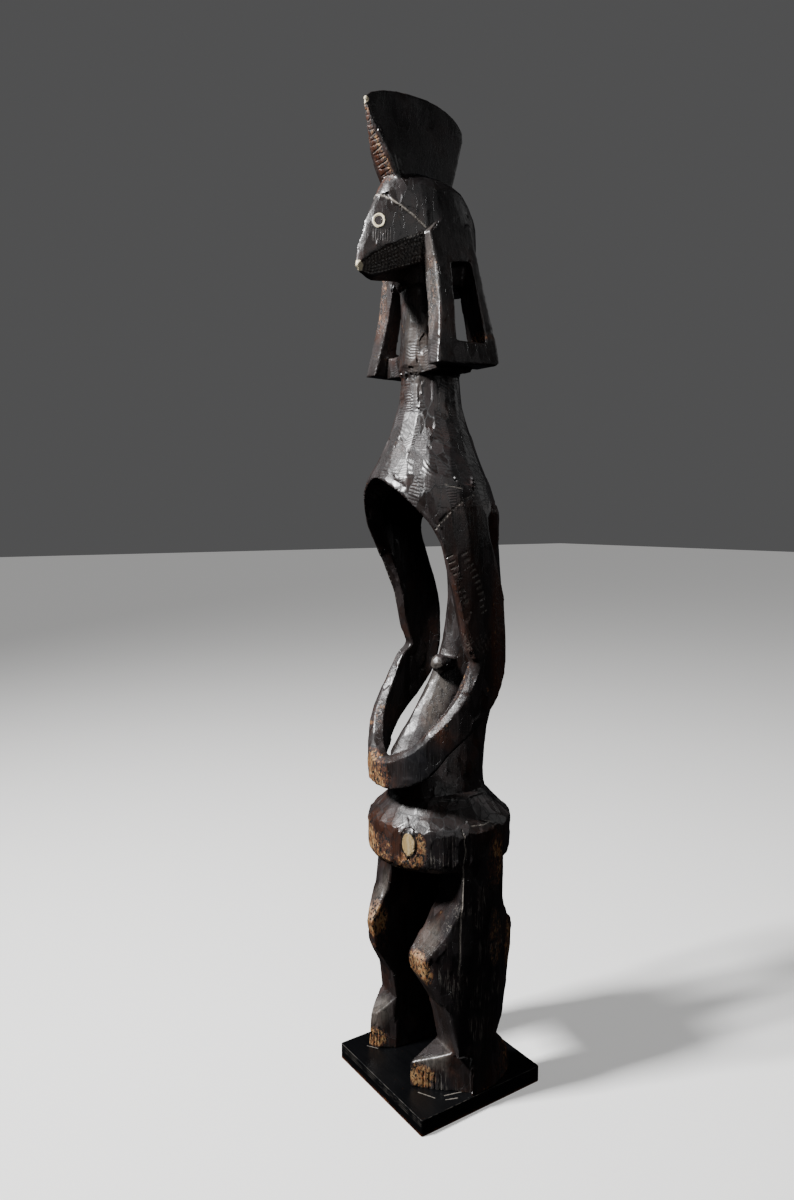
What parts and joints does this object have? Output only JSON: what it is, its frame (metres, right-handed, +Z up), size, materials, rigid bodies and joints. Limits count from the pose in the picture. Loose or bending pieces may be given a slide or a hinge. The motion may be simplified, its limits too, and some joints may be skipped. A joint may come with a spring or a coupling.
{
  "type": "mumuye statue",
  "caption": "Tall standing figure carved from one log, with a blade crest, open ear frames and long arms round a slender torso, on a square base plate.",
  "frame": {"origin": "centre of the base plate's underside", "axes": "+Z up, -Y the way the figure's plate and feet face, +X the figure's left side"},
  "size_m": [0.18, 0.2114, 1.1683],
  "materials": {
    "figure_wood": "dark brown carved hardwood with a silvery worn patina",
    "plate_wood": "black painted wood, worn to brown at its lower edges"
  },
  "bodies": {
    "root": {"figure": "figure_wood", "base_plate": "plate_wood"}
  },
  "joints": []
}
